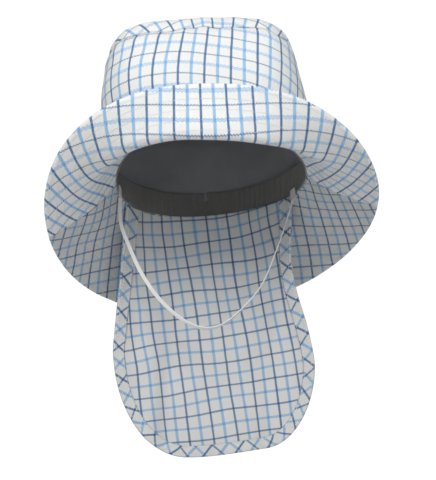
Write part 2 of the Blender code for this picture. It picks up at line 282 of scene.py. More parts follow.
class Nodes:
    """Short names for making shader nodes."""

    def __init__(self, name):
        self.material = bpy.data.materials.new(name)
        self.material.use_nodes = True
        self.tree = self.material.node_tree
        self.shader = self.tree.nodes["Principled BSDF"]

    def new(self, kind, **settings):
        node = self.tree.nodes.new(kind)
        for key, value in settings.items():
            setattr(node, key, value)
        return node

    def link(self, source, target):
        if isinstance(source, (int, float, tuple)):
            target.default_value = source
        else:
            self.tree.links.new(source, target)

    def math(self, operation, a, b=0.0, c=0.0):
        node = self.new("ShaderNodeMath", operation=operation)
        for socket, value in zip(node.inputs, (a, b, c)):
            self.link(value, socket)
        return node.outputs[0]

    def times(self, a, b):
        return self.math("MULTIPLY", a, b)

    def plus(self, a, b):
        return self.math("ADD", a, b)

    def set(self, **values):
        """Plain values of the shader's own sockets."""
        for key, value in values.items():
            self.shader.inputs[key.replace("_", " ")].default_value = value

    def uv(self):
        node = self.new("ShaderNodeUVMap", uv_map="Cloth")
        split = self.new("ShaderNodeSeparateXYZ")
        self.link(node.outputs["UV"], split.inputs[0])
        return node.outputs["UV"], split.outputs["X"], split.outputs["Y"]

    def step_down(self, value, start, end):
        """1 below start, 0 above end, smooth between."""
        node = self.new("ShaderNodeMapRange", interpolation_type="SMOOTHSTEP")
        for key, number in (("From Min", start), ("From Max", end), ("To Min", 1.0), ("To Max", 0.0)):
            node.inputs[key].default_value = number
        self.link(value, node.inputs["Value"])
        return node.outputs["Result"]

    def from_line(self, value, pitch, shift=0.0):
        """How far a coordinate is from the nearest of evenly spaced lines."""
        moved = self.math("FLOORED_MODULO", self.math("SUBTRACT", value, shift - pitch / 2), pitch)
        return self.math("ABSOLUTE", self.math("SUBTRACT", moved, pitch / 2))

    def zigzag(self, value, period, height):
        """A triangle wave of a coordinate."""
        share = self.math("PINGPONG", value, period / 2)
        return self.math("MULTIPLY", self.math("SUBTRACT", share, period / 4), 4 * height / period)

    def noise(self, vector, scale, detail=2.0, roughness=0.5):
        node = self.new("ShaderNodeTexNoise")
        node.inputs["Scale"].default_value = scale
        node.inputs["Detail"].default_value = detail
        node.inputs["Roughness"].default_value = roughness
        if vector is not None:
            self.link(vector, node.inputs["Vector"])
        return node.outputs["Fac"]

    def mix(self, factor, a, b, blend="MIX"):
        node = self.new("ShaderNodeMix", data_type="RGBA", blend_type=blend)
        self.link(factor, node.inputs["Factor"])
        self.link(a, node.inputs[6])
        self.link(b, node.inputs[7])
        return node.outputs[2]

    def bump(self, height, distance, strength=1.0, normal=None):
        node = self.new("ShaderNodeBump")
        node.inputs["Strength"].default_value = strength
        node.inputs["Distance"].default_value = distance
        self.link(height, node.inputs["Height"])
        if normal is not None:
            self.link(normal, node.inputs["Normal"])
        return node.outputs["Normal"]


WHITE = (0.83, 0.83, 0.815, 1.0)
DARK_LINE = (0.060, 0.212, 0.450, 1.0)
LIGHT_LINE = (0.340, 0.620, 0.960, 1.0)


def check_cloth(name, zigzag=1.0, weft=1.0, soften=0.0, soil=0.0, painted_shade_factor=1.0):
    """White twill with a windowpane check of dark and light blue lines.

    zigzag is how much the weft lines break up, as on the right side, and weft how wide they are. soften
    blurs the lines, as on the wrong side. soil darkens the cloth a little in patches. tone darkens it all
    over, as painted shade for pieces that lie in shadow."""
    n = Nodes(name)
    vector, u, v = n.uv()
    slub = n.times(n.math("SUBTRACT", n.noise(vector, 160.0, 3.0), 0.5), 0.0007)
    across, along = n.plus(u, slub), n.plus(v, slub)
    edge = 0.00022 + soften * 0.00035
    warp_dark = n.step_down(n.from_line(across, CHECK_ACROSS), 0.00100 - edge, 0.00100 + edge)
    warp_light = n.step_down(
        n.from_line(across, CHECK_ACROSS, CHECK_ACROSS / 2), 0.00130 - edge, 0.00130 + edge
    )
    sway = n.zigzag(across, 0.0026, 0.00055 * zigzag)
    dark_along = n.plus(along, sway)
    thick = 0.00056 * weft
    diagonal = n.plus(across, n.times(along, 0.8))
    dash = n.step_down(n.math("PINGPONG", diagonal, 0.0013), 0.0006, 0.0010)
    dash = n.math("MULTIPLY_ADD", dash, 0.5 * zigzag, 1.0 - 0.5 * zigzag)
    weft_dark = n.step_down(n.from_line(dark_along, CHECK_ALONG), thick - edge / 2, thick + edge)
    light_along = n.plus(along, n.zigzag(across, 0.0034, 0.00075 * zigzag))
    light_from = n.from_line(light_along, CHECK_ALONG, CHECK_ALONG / 2)
    split = 0.00085
    beside = n.math("ABSOLUTE", n.math("SUBTRACT", light_from, split * (0.55 + 0.45 * zigzag)))
    weft_light = n.step_down(beside, 0.00048 - edge / 2, 0.00048 + edge)
    # Painted shade: below 1 this darkens the whole cloth, for pieces that lie in shadow.
    ground = tuple(c * painted_shade_factor for c in WHITE[:3])
    colour = n.mix(n.noise(vector, 18.0, 3.0), ground + (1.0,), tuple(c * 0.955 for c in ground) + (1.0,))
    fade = 1.0 - 0.18 * soften
    for mask, shade, strength in (
        (warp_light, LIGHT_LINE, 0.95 * fade), (weft_light, LIGHT_LINE, 0.90 * fade),
        (n.times(weft_dark, dash), DARK_LINE, 0.92 * fade), (warp_dark, DARK_LINE, 0.97 * fade),
    ):
        grain = n.math("MULTIPLY_ADD", n.noise(vector, 900.0, 1.0), 0.24, 0.87)
        amount = n.times(n.times(mask, strength), grain)
        colour = n.mix(n.math("MINIMUM", amount, 1.0), colour, n.mix(1.0, colour, shade, "MULTIPLY"))
    # Twill: a fine diagonal rib, with the yarns showing along it.
    rib = n.math("SINE", n.times(n.plus(u, n.times(v, 1.15)), 2 * math.pi / 0.0013))
    yarn = n.math("SINE", n.times(u, 2 * math.pi / 0.00045))
    height = n.plus(n.times(rib, 0.5), n.times(yarn, 0.2))
    height = n.plus(height, n.times(n.noise(vector, 700.0, 2.0), 0.9))
    # The grey flecks are yarn at random, with a little painted shade in the low part of each rib.
    fleck = n.math("MULTIPLY_ADD", rib, -0.03, n.times(n.noise(vector, 520.0, 1.0), 0.16))
    colour = n.mix(n.math("MAXIMUM", fleck, 0.0), colour, (0.30, 0.31, 0.33, 1.0))
    if soil:
        patch = n.step_down(n.noise(vector, 9.0, 4.0), 0.38, 0.62)
        colour = n.mix(n.times(patch, soil), colour, (0.55, 0.54, 0.51, 1.0))
    normal = n.bump(height, 0.00020, 0.8)
    n.link(colour, n.shader.inputs["Base Color"])
    n.link(normal, n.shader.inputs["Normal"])
    rough = n.math("MULTIPLY_ADD", n.noise(vector, 300.0, 2.0), 0.12, 0.80)
    n.link(rough, n.shader.inputs["Roughness"])
    n.set(Specular_IOR_Level=0.25, Sheen_Weight=0.06, Sheen_Roughness=0.5)
    return n.material


def dark_cloth(name, colour, weave=0.0011, fuzz=0.2, streak=0.0):
    """Plain dark cloth with a fine crosswise weave."""
    n = Nodes(name)
    vector, u, v = n.uv()
    wide = n.noise(vector, 26.0, 4.0)
    low = tuple(c * 0.78 for c in colour) + (1.0,)
    high = tuple(min(1.0, c * 1.25) for c in colour) + (1.0,)
    shade = n.mix(wide, low, high)
    over = n.math("SINE", n.times(u, 2 * math.pi / weave))
    under = n.math("SINE", n.times(v, 2 * math.pi / weave))
    height = n.times(over, under)
    fleck = n.step_down(n.math("ABSOLUTE", n.times(over, under)), 0.0, 0.8)
    shade = n.mix(n.times(fleck, 0.25), shade, low)
    if streak:
        rib = n.math("SINE", n.times(u, 2 * math.pi / streak))
        height = n.plus(height, n.times(rib, 1.4))
    height = n.plus(height, n.times(n.noise(vector, 500.0, 2.0), 0.8))
    n.link(shade, n.shader.inputs["Base Color"])
    n.link(n.bump(height, 0.00018, 0.8), n.shader.inputs["Normal"])
    n.link(n.math("MULTIPLY_ADD", wide, 0.15, 0.78), n.shader.inputs["Roughness"])
    n.set(Specular_IOR_Level=0.2, Sheen_Weight=fuzz, Sheen_Roughness=0.4)
    return n.material


def braid(name, colour):
    """Flat elastic: ribs along it, crossed by a fine chevron."""
    n = Nodes(name)
    vector, u, v = n.uv()
    rib = n.math("COSINE", n.times(v, 2 * math.pi / 0.0007))
    cross = n.plus(u, n.zigzag(v, 0.0014, 0.0003))
    pick = n.math("COSINE", n.times(cross, 2 * math.pi / 0.0008))
    height = n.plus(rib, n.times(pick, 0.6))
    # Painted shade in the grooves: the low parts of the ribs and picks are darkened.
    low = tuple(c * 0.72 for c in colour) + (1.0,)
    groove_shade = n.step_down(height, -1.2, 0.4)
    shade = n.mix(n.times(groove_shade, 0.6), tuple(colour) + (1.0,), low)
    shade = n.mix(n.times(n.noise(vector, 60.0, 3.0), 0.18), shade, (0.62, 0.60, 0.56, 1.0))
    n.link(shade, n.shader.inputs["Base Color"])
    n.link(n.bump(height, 0.00016, 0.9), n.shader.inputs["Normal"])
    n.set(Roughness=0.62, Sheen_Weight=0.2)
    return n.material


def paint(obj, material, wrong=None, facing=(0.0, -1.0, 0.0)):
    """Gives a piece its material, and the faces that look one way another one, as the cloth's wrong side."""
    obj.data.materials.clear()
    obj.data.materials.append(material)
    if wrong:
        obj.data.materials.append(wrong)
        for face in obj.data.polygons:
            face.material_index = int(face.normal.dot(Vector(facing)) > 0)


def on_hat(obj, material, node):
    """Paints a piece of the hat and puts it in the place of its solid."""
    paint(obj, material)
    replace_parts(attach(obj, "hat"), node)


# ---- the camera

def build_camera():
    data = bpy.data.cameras.new("camera")
    data.sensor_fit = "VERTICAL"
    data.sensor_height = CAMERA_SENSOR
    data.lens = CAMERA_LENS
    data.clip_start = 0.05
    camera = bpy.data.objects.new("camera", data)
    camera.location = CAMERA_PLACE
    camera.rotation_euler = (math.pi / 2 + CAMERA_RISE, 0.0, 0.0)
    bpy.context.collection.objects.link(camera)
    bpy.context.scene.camera = camera


# ---- threads and stitches

def stitches(name, lines, body, material, length=STITCH_LENGTH, shown=0.72, radius=0.00024):
    """Rows of stitches as one object. Each line is its points and the cloth's outward normals there.

    Every stitch is a short bead of thread that rises out of the cloth and dips back in to it."""
    sections, sides = 6, 6
    along_share = np.linspace(-0.5, 0.5, sections)
    around = np.linspace(0.0, 2 * math.pi, sides, endpoint=False)
    points, uvs, faces = [], [], []
    start = 0
    for line, normal in lines:
        run = run_of(line)
        count = int(run[-1] / length)
        middle = (np.arange(count) + 0.5) * run[-1] / count
        at = middle[:, None] + along_share * length * shown
        place = np.stack([np.interp(at, run, line[:, i]) for i in range(3)], axis=-1)
        up = unit(np.stack([np.interp(at, run, normal[:, i]) for i in range(3)], axis=-1))
        ahead = unit(np.gradient(place, axis=1))
        side = np.cross(ahead, up)
        arch = 1.0 - (2 * np.abs(along_share)) ** 3
        rise = radius * (1.6 * arch - 1.15)
        thick = radius * (0.62 + 0.38 * arch)
        ring = (
            (place + up * rise[None, :, None])[:, :, None, :]
            + up[:, :, None, :] * (np.cos(around) * thick[:, None])[None, :, :, None]
            + side[:, :, None, :] * (np.sin(around) * thick[:, None])[None, :, :, None]
        )
        points.append(ring.reshape(-1, 3))
        uv = np.stack(np.broadcast_arrays(at[:, :, None], (around * radius)[None, None, :]), axis=-1)
        uvs.append(uv.reshape(-1, 2))
        index = np.arange(sections * sides).reshape(sections, sides)
        a, b = index[:-1], index[1:]
        quads = np.stack([a, np.roll(a, -1, 1), np.roll(b, -1, 1), b], axis=-1).reshape(-1, 4)
        first, last = index[0][::-1], index[-1]
        for k in range(count):
            shift = start + k * sections * sides
            faces += (quads + shift).tolist()
            faces += [(first + shift).tolist(), (last + shift).tolist()]
        start += count * sections * sides
    obj = mesh_object(name, np.vstack(points), faces, np.vstack(uvs))
    paint(obj, material)
    if body == "cape":
        blend_cape(obj)
    else:
        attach(obj, body)
    return obj


def row_of(rows, at, lift=0.0, side=1.0):
    """One line along a grid at a column's share, with the grid's normals, for a row of stitches."""
    normal = grid_normals(rows) * side
    place = at * (rows.shape[1] - 1)
    low = int(place)
    high = min(low + 1, rows.shape[1] - 1)
    part = place - low
    line = rows[:, low] * (1 - part) + rows[:, high] * part
    up = normal[:, low] * (1 - part) + normal[:, high] * part
    return line + up * lift, up


# ---- the crown, its lining and the sweatband

def through(at, knots, values):
    """A smooth curve through knots."""
    knots, values = np.asarray(knots), np.asarray(values)
    slopes = np.gradient(values, knots)
    at = np.clip(at, knots[0], knots[-1])
    low = np.clip(np.searchsorted(knots, at, side="right") - 1, 0, len(knots) - 2)
    span = knots[low + 1] - knots[low]
    t = (at - knots[low]) / span
    return (
        (2 * t ** 3 - 3 * t ** 2 + 1) * values[low] + (t ** 3 - 2 * t ** 2 + t) * span * slopes[low]
        + (3 * t ** 2 - 2 * t ** 3) * values[low + 1] + (t ** 3 - t ** 2) * span * slopes[low + 1]
    )


def wall(angles, shares, inset, out=0.0, rise=0.0):
    """Points of the crown's wall: a row for each angle, up through the shares of its height."""
    angle, share = np.meshgrid(angles, shares, indexing="ij")
    scale = through(share, WALL_HEIGHTS, WALL_SCALES)
    sine, cosine = np.sin(angle), np.cos(angle)
    square = TOP_SQUARENESS[0] + TOP_SQUARENESS[1] * cosine
    power = 2.0 + (square - 2.0) * np.clip(share, 0.0, 1.0)
    radius = (np.abs(sine) ** power + np.abs(cosine) ** power) ** (-1.0 / power)
    shift = CROWN_SHIFT * smooth(np.clip(1.4 * share, 0.0, 1.0))
    return np.stack([
        shift + (OPENING_HALF_WIDTH * scale * radius - inset + out) * sine,
        -(OPENING_HALF_DEPTH * scale * radius - inset + out) * cosine,
        share * SEAM_HEIGHT + opening_height(angle) * (1.0 - share) + rise,
    ], axis=-1)


def half(front, count, lap=0.0):
    """Angles across the front or the back half, from side seam to side seam."""
    angles = np.linspace(-math.pi / 2 - lap, math.pi / 2 + lap, count)
    return angles if front else angles + math.pi


def seam_dip(count, width):
    """1 at the two ends of a half piece, falling to 0 a few points in."""
    share = np.linspace(0.0, 1.0, count)
    return np.exp(-np.minimum(share, 1.0 - share) / width)


def panel_uv(rows, turn, shift):
    """The cloth of a straight panel: along and up it, turned off the grain a little."""
    along, up = distances(rows, 0), distances(rows, 1)
    middle = along.shape[0] // 2
    along = along.mean(axis=1, keepdims=True) + 0.0 * up
    uv = np.stack([along - along[middle:middle + 1], up], axis=-1)
    return turned(uv, turn) + np.array(shift)


def seam_wave(angle):
    """How the top seam rises and falls a little round the crown."""
    return 0.0011 * np.sin(5 * angle + 1.0) + 0.0008 * np.sin(11 * angle + 2.0) + 0.0005 * np.sin(23 * angle)


def build_crown(cloth, lining, band, thread, band_thread):
    angles_count = 221
    shares = np.concatenate([[-0.014, -0.006], np.linspace(0.0, 1.0, 72)])
    seams = []
    for side, front in (("front", True), ("back", False)):
        angles = half(front, angles_count)
        angle, share = np.meshgrid(angles, shares, indexing="ij")
        pucker = np.sin(angle * 23 + 1.7 * np.sin(angle * 5.3)) * np.exp(-np.clip(1 - share, 0, 1) / 0.07)
        slack = ripples(angle * 3.2, share * 3.0, 11 + front) * smooth(share * 3) * smooth((1.04 - share) * 4)
        out = 0.0006 * pucker + 0.0011 * np.maximum(slack, -0.5)
        out = out - 0.0009 * seam_dip(angles_count, 0.010)[:, None]
        rise = seam_wave(angle) * smooth((share - 0.7) / 0.3)
        rows = leaned(wall(angles, shares, CLOTH / 2, out, rise))
        shift = CROWN_FRONT_SHIFT if front else CROWN_BACK_SHIFT
        obj = cloth_piece(f"crown_{side}_cloth", rows, panel_uv(rows, CROWN_TURN, shift))
        on_hat(obj, cloth, f"crown_{side}_panel")
        seams.append(row_of(rows, 0.965, CLOTH / 2))
        seams.append(row_of(rows, 0.055, CLOTH / 2))
        for edge in (5, angles_count - 6):
            line = rows[edge, 4:-3]
            normal = grid_normals(rows)[edge, 4:-3]
            seams.append((line + normal * CLOTH / 2, normal))
        loose = 0.0010 * ripples(angle * 4.0, share * 3.5, 31 + front, low=1.5, high=4.0)
        sag = -np.abs(loose) * smooth(share * 4) * smooth((1.0 - share) * 5)
        within = wall(angles, np.linspace(0.0, 0.985, 74), 0.0016 + 0.0012 * smooth(share * 5), sag)
        inside = leaned(within)
        uv = panel_uv(inside, 0.0, (0.0, 0.0))
        obj = cloth_piece(f"lining_{side}_cloth", inside, uv, thickness=LINING_CLOTH)
        on_hat(obj, lining, f"lining_{side}_panel")
    build_crown_top(cloth, lining, seams)
    stitches("crown_stitches", seams, "hat", thread)
    build_sweatband(band, band_thread)


def build_crown_top(cloth, lining, seams):
    angles = np.linspace(0.0, 2 * math.pi, 300, endpoint=False)
    rings = 1.0 - np.linspace(0.0, 1.0, 64, endpoint=False) ** 1.5
    angle, ring = np.meshgrid(angles, rings, indexing="ij")
    across = np.clip((1.0 - ring) / TOP_SHOULDER, 0.0, 1.0)
    rise = TOP_PUFF * np.sqrt(1.0 - (1.0 - across) ** 2)
    gather = np.sin(angle * 31 + 2.0 * np.sin(angle * 4.0) + 1.0)
    rise = rise + 0.0011 * gather * across * np.exp(-across / 0.35)
    rise = rise + seam_wave(angle) * smooth(1.0 - across)
    rise = rise + 0.0009 * ripples(ring * np.sin(angle) * 4, ring * np.cos(angle) * 4, 5) * across
    rows = np.repeat(wall(angles, np.array([1.0]), CLOTH / 2), len(rings), axis=1)
    centre = np.array([CROWN_SHIFT, 0.0])
    flat = centre + (rows[..., :2] - centre) * ring[..., None]
    points = np.concatenate([flat, (SEAM_HEIGHT + CLOTH / 2 + rise)[..., None]], axis=-1)
    inward = distances(points, 1)
    reach = (inward.max() - inward)[..., None]
    away = flat - centre
    uv = turned(reach * unit(away), TOP_TURN)
    obj = cloth_piece("crown_top_cloth", leaned(points), uv, closed=True, middle=(0.0, 0.0))
    on_hat(obj, cloth, "crown_top")
    up = leaned(UP)
    line = leaned(points)[:, 9]
    line = np.vstack([line, line[:1]])
    seams.append((line + up * CLOTH / 2, np.repeat(up[None], len(line), axis=0)))
    under = np.concatenate([
        centre + away * 0.975,
        (SEAM_HEIGHT - 0.0012 + 0.8 * rise - 0.0012 * across)[..., None],
    ], axis=-1)
    obj = cloth_piece(
        "lining_top_cloth", leaned(under), flat, thickness=LINING_CLOTH, closed=True, middle=centre
    )
    on_hat(obj, lining, "lining_top")


def build_sweatband(band, thread):
    """A folded band whose back is gathered on elastic. Its two ends lap at the middle of the back."""
    angles = np.linspace(-math.pi - 0.03, math.pi + 0.03, 720)
    up = np.linspace(0.0, 1.0, 26)
    angle, share = np.meshgrid(angles, up, indexing="ij")
    back = smooth((np.abs(angle) - 1.75) / 0.6)
    gather = np.sin(angle * 88 + 2.5 * np.sin(angle * 7.0) + 1.2 * share)
    free = 0.35 + 0.65 * np.sin(math.pi * share) ** 0.7
    crease = ripples(angle * 6.0, share * 2.0, 71, low=1.0, high=5.0)
    ends = smooth((math.pi + 0.03 - np.abs(angle)) / 0.15)
    out = (-0.00035 * back * gather * free - 0.0004 * np.abs(crease) * free) * ends
    lap = -0.0011 * smooth((angle - math.pi + 0.07) / 0.04)
    height = (0.0004 + (BAND_HEIGHT - 0.0004) * share) / SEAM_HEIGHT
    scale = through(height, WALL_HEIGHTS, WALL_SCALES)
    reach = -BAND_INSET - 0.0002 + out + lap
    rows = np.stack([
        CROWN_SHIFT * smooth(1.4 * height) + (OPENING_HALF_WIDTH * scale + reach) * np.sin(angle),
        -(OPENING_HALF_DEPTH * scale + reach) * np.cos(angle),
        height * SEAM_HEIGHT + opening_height(angle) * (1.0 - height),
    ], axis=-1)
    rows = leaned(rows)
    round_it = distances(rows, 0).mean(axis=1, keepdims=True)
    uv = np.stack([round_it + 0 * share, share * BAND_HEIGHT], axis=-1)
    obj = cloth_piece("sweatband_cloth", rows, uv, thickness=BAND_CLOTH)
    on_hat(obj, band, "sweatband")
    lines = [row_of(rows, at, 0.0005, side) for at in (0.09, 0.93) for side in (-1.0, 1.0)]
    stitches("sweatband_stitches", lines, "hat", thread, radius=0.00018)


# ---- the brim

def brim_surface(angles, stations):
    """The brim's middle surface, upright: a row for each angle, from the opening out to the edge."""
    width = wave(BRIM_WIDTH, angles)[:, None]
    along = BRIM_START + stations * (width - BRIM_START)
    middle = (along[:, 1:] + along[:, :-1]) / 2
    place, length = wave(BEND_PLACE, angles)[:, None], wave(BEND_LENGTH, angles)[:, None]
    bend = smooth((middle - place) / length + 0.5)
    root, edge = wave(SLOPE_AT_ROOT, angles)[:, None], wave(SLOPE_AT_EDGE, angles)[:, None]
    slope = np.radians(root + (edge - root) * bend)
    step = np.diff(along, axis=1)
    tilt = np.radians(root)
    over = np.concatenate([0 * root, np.cumsum(np.cos(slope) * step, axis=1)], axis=1)
    above = np.concatenate([0 * root, np.cumsum(np.sin(slope) * step, axis=1)], axis=1)
    reach, rise = BRIM_START * np.cos(tilt) + over, BRIM_START * np.sin(tilt) + above
    sine, cosine = np.sin(angles), np.cos(angles)
    out = unit(np.stack([OPENING_HALF_DEPTH * sine, -OPENING_HALF_WIDTH * cosine, 0 * angles], axis=-1))
    return opening_point(angles)[:, None] + out[:, None] * reach[..., None] + UP * rise[..., None]


def brim_uv(angles, stations, shift):
    """A brim half is cut as part of a ring, so its grain runs straight through it."""
    radius = 0.134 + stations[None] * 0.083 + 0.0 * angles[:, None]
    turn = (angles - angles.mean())[:, None] * (120.0 / 180.0)
    return np.stack([radius * np.sin(turn), radius * np.cos(turn)], axis=-1) + np.array(shift)


def build_brim(cloth, shaded_cloth, interlining, thread):
    count = 261
    stations = np.linspace(0.0, 1.0, 121)
    rows_at = (np.arange(BRIM_ROWS) + 0.55) / BRIM_ROWS
    for side, front in (("front", True), ("back", False)):
        angles = half(front, count)
        middle = brim_surface(angles, stations)
        normal = grid_normals(middle)
        if normal[count // 2, 5, 2] < 0:
            normal = -normal
        angle, station = np.meshgrid(angles, stations, indexing="ij")
        wave_cloth = 0.0005 * ripples(angle * 5.0, station * 4.0, 91 + front, low=1.5, high=4.5)
        middle = middle + normal * (wave_cloth * smooth(station * 3))[..., None]
        from_edge = (1.0 - station) * wave(BRIM_WIDTH, angle)
        plump = np.abs(np.sin(math.pi * (station * BRIM_ROWS - 0.55))) ** 0.7
        fold = smooth(from_edge / 0.0022)
        apart = 0.00038 + (0.00056 + 0.00008 * plump) * fold
        apart = apart - 0.00030 * seam_dip(count, 0.006)[:, None] * fold
        uv = brim_uv(angles, stations, BRIM_FRONT_SHIFT if front else BRIM_BACK_SHIFT)
        for name, way in (("upper", 1.0), ("under", -1.0)):
            rows = middle + normal * (way * apart)[..., None]
            face_uv = uv
            if name == "under":
                rows, face_uv = tucked_in(angles, rows, uv)
            rows = leaned(rows)
            obj = cloth_piece(f"brim_{name}_{side}_cloth", rows, face_uv)
            on_hat(obj, cloth if front or name == "upper" else shaded_cloth, f"brim_{name}_{side}")
            kept = rows[:, -len(stations):]
            up = grid_normals(kept)
            outward = way * np.sign((up[count // 2, 60] * leaned(normal[count // 2, 60])).sum())
            lines = [row_of(kept, at, CLOTH / 2, outward) for at in rows_at]
            stitches(
                f"brim_{name}_{side}_stitches", lines, "hat", thread, length=0.0032, radius=0.00022
            )
        inner = slice(2, -3)
        filler = leaned(middle[2:-2, inner])
        obj = cloth_piece(f"brim_stiffener_{side}", filler, uv[2:-2, inner], thickness=STIFFENER_CLOTH)
        on_hat(obj, interlining, f"brim_interlining_{side}")


def tucked_in(angles, rows, uv):
    """Carries the under ply over the edge of the opening and up behind the sweatband."""
    t = np.linspace(0.0, 1.0, 8, endpoint=False)[None, :, None]
    end = opening_point(angles, 0.0026, 0.0028)[:, None]
    bend = opening_point(angles, 0.0016, -0.0012)[:, None]
    start = rows[:, :1]
    lip = end * (1 - t) ** 2 + 2 * bend * t * (1 - t) + start * t ** 2
    step = np.array([0.0, -0.0006]) * np.arange(8, 0, -1)[None, :, None]
    return np.concatenate([lip, rows], axis=1), np.concatenate([uv[:, :1] + step, uv], axis=1)


# ---- the cape

def cape_y(x, z):
    """The cape's surface: curved round the neck at the top, flatter towards the hem."""
    blend = smooth(-z / CAPE_FLAT_DEPTH)
    half_width, depth, back = (
        top + (hem - top) * blend for top, hem in zip(CAPE_TOP_CURVE, CAPE_HEM_CURVE)
    )
    across = (x - CAPE_CENTRE) / half_width
    return back - depth * (1.0 - np.sqrt(np.clip(1.0 - across ** 2, 0.0, 1.0)))


def cape_fold(x, z):
    """How far the cloth stands off its smooth shape: soft folds that grow towards the hem."""
    free = smooth((-0.03 - z) / 0.16)
    left = np.exp(-((x + 0.058 + 0.06 * (z + 0.15)) / 0.011) ** 2)
    second = np.exp(-((x + 0.036 - 0.10 * (z + 0.13)) / 0.009) ** 2)
    right = np.exp(-((x - 0.062 - 0.05 * (z + 0.10)) / 0.013) ** 2)
    third = np.exp(-((x - 0.035 + 0.04 * (z + 0.16)) / 0.015) ** 2)
    fold = -0.0042 * left + 0.0026 * second - 0.0036 * right + 0.0018 * third
    fold = fold * free
    crumple = 0.0011 * ripples(x * 95.0, z * 70.0, 17, low=0.6, high=2.0) * smooth((-0.02 - z) / 0.03)
    below = np.exp(-np.clip(-z - 0.012, 0, 1) / 0.022)
    gather = 0.0006 * np.sin(x * 640.0 + 2.0 * np.sin(x * 110.0)) * below
    return fold + crumple + gather * smooth((-z - 0.012) / 0.01)


def cape_depth(x, z):
    return cape_y(x, z) + cape_fold(x, z)


def cape_points(x, z, away=0.0):
    """Points on the cape, folds and all, or at a distance from it towards the neck."""
    step = 2e-4
    slope_x = (cape_depth(x + step, z) - cape_depth(x - step, z)) / (2 * step)
    slope_z = (cape_depth(x, z + step) - cape_depth(x, z - step)) / (2 * step)
    normal = unit(np.stack([slope_x, -np.ones_like(slope_x), slope_z], axis=-1))
    away = np.asarray(away)[..., None]
    return np.stack([x, cape_depth(x, z), z], axis=-1) + normal * away


def cape_side(z, side):
    if side == "left":
        return np.interp(z, (CAPE_LEFT_CORNER[0], -0.012), (CAPE_SIDE_LEFT[1], CAPE_SIDE_LEFT[0]))
    return CAPE_SIDE_RIGHT[0] + (CAPE_SIDE_RIGHT[1] - CAPE_SIDE_RIGHT[0]) * smooth((-0.06 - z) / 0.11)


def cape_hem(x):
    """The height of the hem: it rises a little to the right, with a round corner at each end."""
    left_height, left_reach = CAPE_LEFT_CORNER
    right_height, right_reach = CAPE_RIGHT_CORNER
    left, right = CAPE_SIDE_LEFT[1] + left_reach, CAPE_SIDE_RIGHT[1] - right_reach
    low = CAPE_HEM + CAPE_HEM_RISE * smooth((x - left) / (right - left + right_reach))
    round_left = np.sqrt(np.clip(1.0 - ((left - x) / left_reach) ** 2, 0.0, 1.0))
    round_right = np.sqrt(np.clip(1.0 - ((x - right) / right_reach) ** 2, 0.0, 1.0))
    hem = np.where(x < left, left_height - (left_height - CAPE_HEM) * round_left, low)
    return np.where(x > right, right_height - (right_height - low) * round_right, hem)


def cape_top(x):
    """The height at which the cape is sewn on, on the leaned edge of the opening."""
    half_width = OPENING_HALF_WIDTH - CAPE_INSET
    angle = math.pi - np.arcsin(np.clip((x - CAPE_CENTRE) / half_width, -1.0, 1.0))
    return leaned(opening_point(angle, CAPE_INSET, 0.0))[..., 2] + 0.0022


def cape_columns(count):
    share = (1.0 - np.cos(np.linspace(0.0, math.pi, count))) / 2.0
    share = 0.75 * share + 0.25 * np.linspace(0.0, 1.0, count)
    return CAPE_SIDE_LEFT[1] + share * (CAPE_SIDE_RIGHT[1] - CAPE_SIDE_LEFT[1])


def cape_spread(xs, z):
    """Where a column that is at x at the widest place lies at each height."""
    left = cape_side(z, "left") / CAPE_SIDE_LEFT[1]
    right = cape_side(z, "right") / CAPE_SIDE_RIGHT[1]
    share = smooth((xs - CAPE_SIDE_LEFT[1]) / (CAPE_SIDE_RIGHT[1] - CAPE_SIDE_LEFT[1]))
    return xs * (left + (right - left) * share)


def cape_grid(columns, levels):
    xs = cape_columns(columns)
    tops = cape_top(cape_spread(xs, np.full_like(xs, -0.02)))
    bottoms = cape_hem(xs)
    z = tops[:, None] + levels[None] * (bottoms - tops)[:, None]
    x = cape_spread(xs[:, None], z)
    return x, z


def cape_uv(x, z):
    """Flat cloth: across it along the curve, and down it."""
    fine = np.linspace(-0.11, 0.11, 441)
    heights = np.linspace(-0.26, 0.0, 53)
    grid_x, grid_z = np.meshgrid(fine, heights, indexing="ij")
    step_x = np.hypot(np.diff(cape_depth(grid_x, grid_z), axis=0), np.diff(grid_x, axis=0))
    run = np.vstack([np.zeros(len(heights)), np.cumsum(np.minimum(step_x, 0.0011), axis=0)])
    run -= run[len(fine) // 2]
    place_x = np.clip((x - fine[0]) / (fine[1] - fine[0]), 0, len(fine) - 1.001)
    place_z = np.clip((z - heights[0]) / (heights[1] - heights[0]), 0, len(heights) - 1.001)
    i, j = place_x.astype(int), place_z.astype(int)
    s, t = place_x - i, place_z - j
    across = (
        run[i, j] * (1 - s) * (1 - t) + run[i + 1, j] * s * (1 - t)
        + run[i, j + 1] * (1 - s) * t + run[i + 1, j + 1] * s * t
    )
    return np.stack([across, z * 1.01], axis=-1)


def cape_warp(x, z):
    """The grain's slight waviness, from washing and wear."""
    return np.stack([
        0.0013 * ripples(x * 90.0, z * 55.0, 201, low=0.6, high=1.8),
        0.0012 * ripples(x * 80.0, z * 60.0, 202, low=0.6, high=1.8),
    ], axis=-1)


def blend_cape(obj):
    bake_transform(obj)


